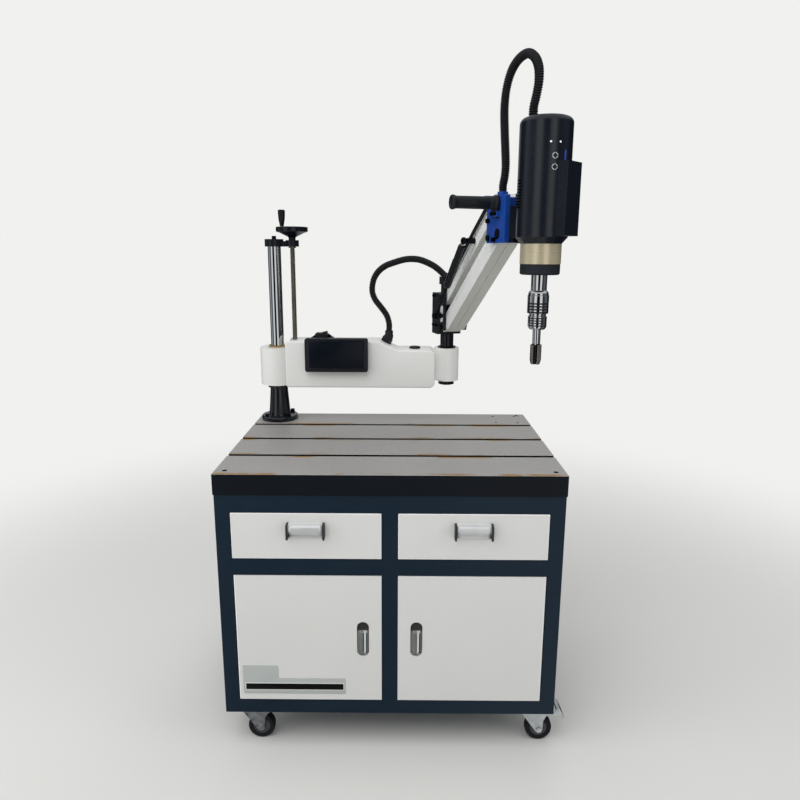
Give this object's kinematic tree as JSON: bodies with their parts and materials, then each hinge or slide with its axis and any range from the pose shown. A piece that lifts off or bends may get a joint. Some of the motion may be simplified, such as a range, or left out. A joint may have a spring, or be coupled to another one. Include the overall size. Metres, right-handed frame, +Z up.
{
  "type": "arm_tapping_machine",
  "caption": "Arm tapping machine: servo tapping head on a gas-balanced parallel arm, raised by a handwheel screw on a chrome column, on a wheeled bench with drawers and cupboards.",
  "frame": {"origin": "On the floor, under the middle of the bounding box seen from above.", "axes": "+Z up, +X to the right of a user facing the drawers, -Y towards that user."},
  "size_m": [0.936, 0.7096, 1.7936],
  "materials": {
    "cabinet_paint": "smooth, slightly glossy dark blue-grey powder coat",
    "top_paint": "dark sides, ground mid-grey working surface",
    "front_paint": "light grey powder coat on drawer and door fronts",
    "black_paint": "satin blue-black coat on cast and machined pieces",
    "white_paint": "fine-textured off-white powder coat",
    "hood_paint": "satin dark blue-grey coat",
    "blue_paint": "glossy mid-blue coat",
    "alu": "satin anodised aluminium",
    "champagne": "champagne anodised aluminium, turned",
    "steel": "bright machined steel",
    "zinc": "zinc-plated pressed steel",
    "dark_steel": "blackened steel fasteners",
    "chrome": "polished chrome plate",
    "bronze": "machined bronze",
    "rubber": "black castor tyre",
    "black_plastic": "black moulded plastic",
    "red_plastic": "red rocker",
    "hose_plastic": "dark grey ribbed conduit",
    "glass": "dark display glass"
  },
  "bodies": {
    "bench": {"cabinet_shell": "cabinet_paint", "table_top": "top_paint", "fixing_screws": "dark_steel", "drawer_runners": "zinc", "door_hinge_pins": "zinc", "caster_mounts": "zinc", "column_base": "black_paint", "column_tube": "chrome"},
    "drawer_left": {"drawer_left": "front_paint", "drawer_pull_left": "alu"},
    "drawer_right": {"drawer_right": "front_paint", "drawer_pull_right": "alu"},
    "door_left": {"door_left": "front_paint"},
    "door_right": {"door_right": "front_paint"},
    "latch_left": {"latch_lever_left": "chrome"},
    "latch_right": {"latch_lever_right": "chrome"},
    "swivel_left": {"caster_fork_left": "zinc"},
    "swivel_right": {"caster_fork_right": "zinc"},
    "wheel_fl": {"wheel_front_left": "rubber"},
    "wheel_fr": {"wheel_front_right": "rubber"},
    "wheel_rl": {"wheel_rear_left": "rubber"},
    "wheel_rr": {"wheel_rear_right": "rubber"},
    "brake": {"brake_pedal": "zinc"},
    "turret": {"top_bracket": "black_paint"},
    "screw": {"lead_screw": "steel", "handwheel": "black_paint"},
    "crank": {"crank_handle": "black_plastic"},
    "lower_arm": {"arm_casting": "white_paint", "arm_bushes": "bronze", "lead_nut": "bronze", "electronics_cover": "white_paint", "display_housing": "black_plastic", "display_glass": "glass", "arm_plug": "black_plastic", "lower_hose": "hose_plastic"},
    "rocker": {"power_rocker": "red_plastic"},
    "elbow": {"elbow_post": "black_paint", "elbow_bracket": "black_paint", "link_pins_low": "dark_steel"},
    "upper_link": {"upper_link": "alu", "conduit": "hose_plastic"},
    "main_beam": {"main_beam": "alu"},
    "head_bracket": {"head_plates": "blue_paint", "handle_grip": "black_plastic", "link_pins_high": "dark_steel", "upper_hose": "hose_plastic"},
    "gas_cylinder": {"gas_cylinder": "black_plastic"},
    "gas_rod": {"gas_rod": "steel"},
    "head": {"tilt_block": "black_paint", "motor_hood": "hood_paint", "servo_motor": "black_paint", "gear_housing": "champagne", "nose_ring": "black_plastic"},
    "knob": {"clamp_knob": "black_plastic"},
    "spindle": {"spindle": "steel", "chuck": "steel", "tap": "steel"},
    "collar": {"chuck_collar": "steel"},
    "button_up": {"button_upper": "steel"},
    "button_low": {"button_lower": "steel"}
  },
  "joints": [
    {"name": "drawer_left_slide", "type": "slide", "parent": "bench", "child": "drawer_left", "axis": [0, -1, 0], "range_m": [0, 0.4]},
    {"name": "drawer_right_slide", "type": "slide", "parent": "bench", "child": "drawer_right", "axis": [0, -1, 0], "range_m": [0, 0.4]},
    {"name": "door_left_hinge", "type": "hinge", "parent": "bench", "child": "door_left", "pos_m": [-0.4235, -0.244, 0.338], "axis": [0, 0, -1], "range_deg": [0, 105]},
    {"name": "door_right_hinge", "type": "hinge", "parent": "bench", "child": "door_right", "pos_m": [0.3835, -0.244, 0.338], "axis": [0, 0, 1], "range_deg": [0, 105]},
    {"name": "latch_left_hinge", "type": "hinge", "parent": "door_left", "child": "latch_left", "pos_m": [-0.091, -0.245, 0.29525], "axis": [1, 0, 0], "range_deg": [0, 60]},
    {"name": "latch_right_hinge", "type": "hinge", "parent": "door_right", "child": "latch_right", "pos_m": [0.051, -0.245, 0.29525], "axis": [1, 0, 0], "range_deg": [0, 60]},
    {"name": "swivel_left", "type": "hinge", "parent": "bench", "child": "swivel_left", "pos_m": [-0.41, -0.2, 0.1], "axis": [0, 0, 1], "continuous": true},
    {"name": "swivel_right", "type": "hinge", "parent": "bench", "child": "swivel_right", "pos_m": [0.37, -0.2, 0.1], "axis": [0, 0, 1], "continuous": true},
    {"name": "wheel_fl_spin", "type": "hinge", "parent": "swivel_left", "child": "wheel_fl", "pos_m": [-0.382, -0.2, 0.0375], "axis": [0, 1, 0], "continuous": true},
    {"name": "wheel_fr_spin", "type": "hinge", "parent": "swivel_right", "child": "wheel_fr", "pos_m": [0.398, -0.2, 0.0375], "axis": [0, 1, 0], "continuous": true},
    {"name": "wheel_rl_spin", "type": "hinge", "parent": "bench", "child": "wheel_rl", "pos_m": [-0.41, 0.3, 0.0375], "axis": [0, 1, 0], "continuous": true},
    {"name": "wheel_rr_spin", "type": "hinge", "parent": "bench", "child": "wheel_rr", "pos_m": [0.37, 0.3, 0.0375], "axis": [0, 1, 0], "continuous": true},
    {"name": "brake_hinge", "type": "hinge", "parent": "swivel_right", "child": "brake", "pos_m": [0.422, -0.2, 0.0915], "axis": [0, 1, 0], "range_deg": [0, 10]},
    {"name": "column_swing", "type": "hinge", "parent": "bench", "child": "turret", "pos_m": [-0.4, 0.29, 1.376], "axis": [0, 0, 1], "range_deg": [-90, 90]},
    {"name": "handwheel_spin", "type": "hinge", "parent": "turret", "child": "screw", "pos_m": [-0.342, 0.29, 1.4], "axis": [0, 0, 1], "range_deg": [0, 25200]},
    {"name": "crank_spin", "type": "hinge", "parent": "screw", "child": "crank", "pos_m": [-0.3735, 0.29, 1.455], "axis": [0, 0, 1], "continuous": true},
    {"name": "arm_lift", "type": "slide", "parent": "turret", "child": "lower_arm", "axis": [0, 0, 1], "range_m": [0, 0.28]},
    {"name": "rocker_hinge", "type": "hinge", "parent": "lower_arm", "child": "rocker", "pos_m": [-0.25, 0.27, 1.084], "axis": [0, 1, 0], "range_deg": [0, 10]},
    {"name": "elbow_swing", "type": "hinge", "parent": "lower_arm", "child": "elbow", "pos_m": [0.157, 0.29, 1], "axis": [0, 0, 1], "range_deg": [-60, 90], "deforming": ["lower_hose"]},
    {"name": "arm_raise", "type": "hinge", "parent": "elbow", "child": "upper_link", "pos_m": [0.1694, 0.24674, 1.207], "axis": [-0.9613, -0.2756, 0], "range_deg": [-30, 12], "deforming": ["conduit"]},
    {"name": "beam_follow", "type": "hinge", "parent": "elbow", "child": "main_beam", "pos_m": [0.1694, 0.24674, 1.117], "axis": [-0.9613, -0.2756, 0], "range_deg": [-30, 12]},
    {"name": "head_level", "type": "hinge", "parent": "upper_link", "child": "head_bracket", "pos_m": [0.26898, -0.10053, 1.4753], "axis": [-0.9613, -0.2756, 0], "range_deg": [-12, 30], "deforming": ["conduit"]},
    {"name": "gas_swing", "type": "hinge", "parent": "upper_link", "child": "gas_cylinder", "pos_m": [0.17612, 0.00564, 1.3805], "axis": [-0.9613, -0.2756, 0], "range_deg": [-0.72, 1.8]},
    {"name": "gas_stroke", "type": "slide", "parent": "gas_cylinder", "child": "gas_rod", "axis": [-0.191, 0.6659, -0.7212], "range_m": [-0.02566, 0.01026]},
    {"name": "head_tilt", "type": "hinge", "parent": "head_bracket", "child": "head", "pos_m": [0.28359, -0.15148, 1.3943], "axis": [-0.9613, -0.2756, 0], "range_deg": [-15, 15], "deforming": ["upper_hose"]},
    {"name": "knob_turn", "type": "hinge", "parent": "head", "child": "knob", "pos_m": [0.27982, -0.22538, 1.465], "axis": [0, 0, 1], "continuous": true},
    {"name": "spindle_spin", "type": "hinge", "parent": "head", "child": "spindle", "pos_m": [0.32239, -0.28677, 1.28], "axis": [0, 0, 1], "continuous": true},
    {"name": "collar_slide", "type": "slide", "parent": "spindle", "child": "collar", "axis": [0, 0, 1], "range_m": [0, 0.004]},
    {"name": "button_up_press", "type": "slide", "parent": "head", "child": "button_up", "axis": [-0.1392, 0.9903, 0], "range_m": [0, 0.0015]},
    {"name": "button_low_press", "type": "slide", "parent": "head", "child": "button_low", "axis": [-0.1392, 0.9903, 0], "range_m": [0, 0.0015]}
  ],
  "couplings": [
    {"joint": "handwheel_spin", "follows": "arm_lift", "rad_per_m": 1570.8},
    {"joint": "beam_follow", "follows": "arm_raise", "ratio": 1},
    {"joint": "head_level", "follows": "arm_raise", "ratio": -1},
    {"joint": "gas_swing", "follows": "arm_raise", "ratio": -0.06},
    {"joint": "gas_stroke", "follows": "arm_raise", "m_per_rad": 0.049}
  ]
}
